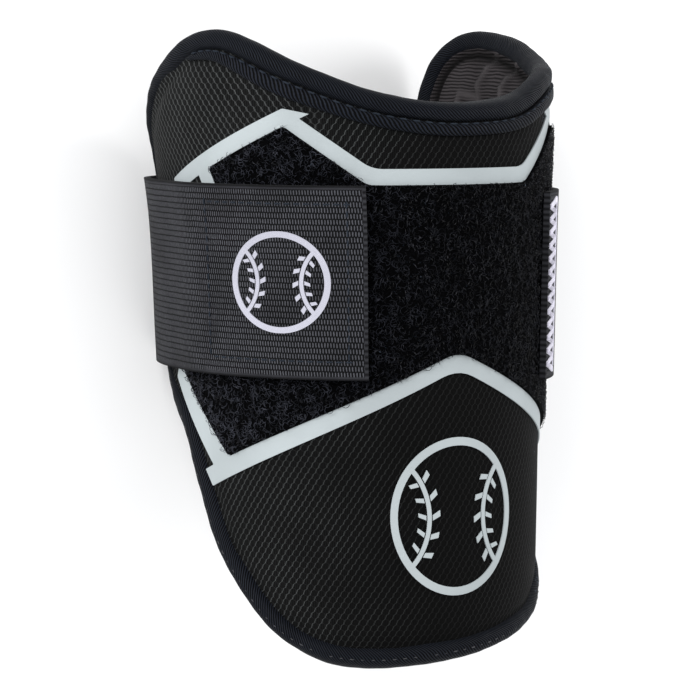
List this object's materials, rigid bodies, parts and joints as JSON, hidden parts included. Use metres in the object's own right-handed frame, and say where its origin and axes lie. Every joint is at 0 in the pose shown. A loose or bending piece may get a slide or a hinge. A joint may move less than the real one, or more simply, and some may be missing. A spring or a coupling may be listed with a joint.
{
  "type": "baseball elbow guard",
  "caption": "Wrap-round elbow guard: stiff padded shell open at the back, bound rim, loop patch and a wide elastic strap.",
  "frame": {"origin": "middle of the strap's flat back run, on the surface that the guard lies on", "axes": "+Y along the arm towards the upper arm, +Z up through the crown of the shell, +X to the right seen from above with +Y up"},
  "size_m": [0.1173, 0.1771, 0.1054],
  "materials": {
    "mesh_fabric": "knitted spacer mesh over a stiff shell",
    "lining_fabric": "ribbed knit over foam",
    "binding_tape": "twill tape",
    "loop_pile": "brushed loop pile",
    "matte_film": "matte printed film",
    "elastic_web": "ribbed elastic webbing",
    "hook_tape": "hook tape",
    "print_ink": "matte ink"
  },
  "bodies": {
    "root": {"shield_shell": "mesh_fabric", "padded_lining": "lining_fabric", "rim_binding": "binding_tape", "top_welt": "binding_tape", "loop_patch": "loop_pile", "patch_border": "matte_film", "elastic_strap": "elastic_web", "hook_strip": "hook_tape", "front_ball_print": "matte_film", "strap_ball_print": "print_ink"}
  },
  "joints": []
}
